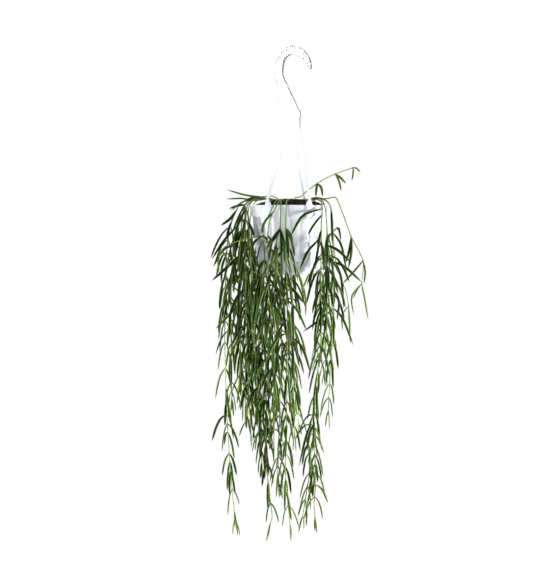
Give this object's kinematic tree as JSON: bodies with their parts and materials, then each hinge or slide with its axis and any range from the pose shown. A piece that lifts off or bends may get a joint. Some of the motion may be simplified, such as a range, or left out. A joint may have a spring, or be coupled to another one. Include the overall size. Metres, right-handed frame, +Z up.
{
  "type": "trailing wax plant in hanging pot",
  "caption": "Trailing plant with narrow paired leaves in a white fluted plastic pot with a drip dish, clipped to a moulded hanger with a hook.",
  "frame": {"origin": "the top of the hook's inner curve, where it bears on the rod or bracket that holds it, in the middle of the plate's thickness and straight over the pot's centre", "axes": "+Z up along the pot's axis, -Y towards the front, and the hook's flat plate turned 30 degrees out of the XZ plane, its open side forward"},
  "size_m": [0.3025, 0.2235, 0.9543],
  "materials": {
    "white_polypropylene": "white, satin from the mould, slightly translucent",
    "potting_mix": "dark, loose bark and peat",
    "leaf_green": "waxy dark green, lighter along the leaf's edges and on the stems"
  },
  "bodies": {
    "root": {"hanger": "white_polypropylene", "pot": "white_polypropylene", "drip_dish": "white_polypropylene", "potting_mix": "potting_mix", "stem_front_1": "leaf_green", "stem_front_2": "leaf_green", "stem_front_3": "leaf_green", "stem_front_4": "leaf_green", "stem_left_1": "leaf_green", "stem_left_2": "leaf_green", "stem_left_3": "leaf_green", "stem_left_4": "leaf_green", "stem_left_5": "leaf_green", "stem_left_6": "leaf_green", "stem_left_7": "leaf_green", "stem_rear_1": "leaf_green", "stem_rear_2": "leaf_green", "stem_rear_3": "leaf_green", "stem_right_1": "leaf_green", "stem_right_2": "leaf_green", "stem_right_3": "leaf_green", "stem_right_4": "leaf_green", "stem_right_5": "leaf_green", "stem_right_6": "leaf_green", "stem_right_7": "leaf_green", "sprig_upright": "leaf_green", "sprig_left": "leaf_green"}
  },
  "joints": []
}
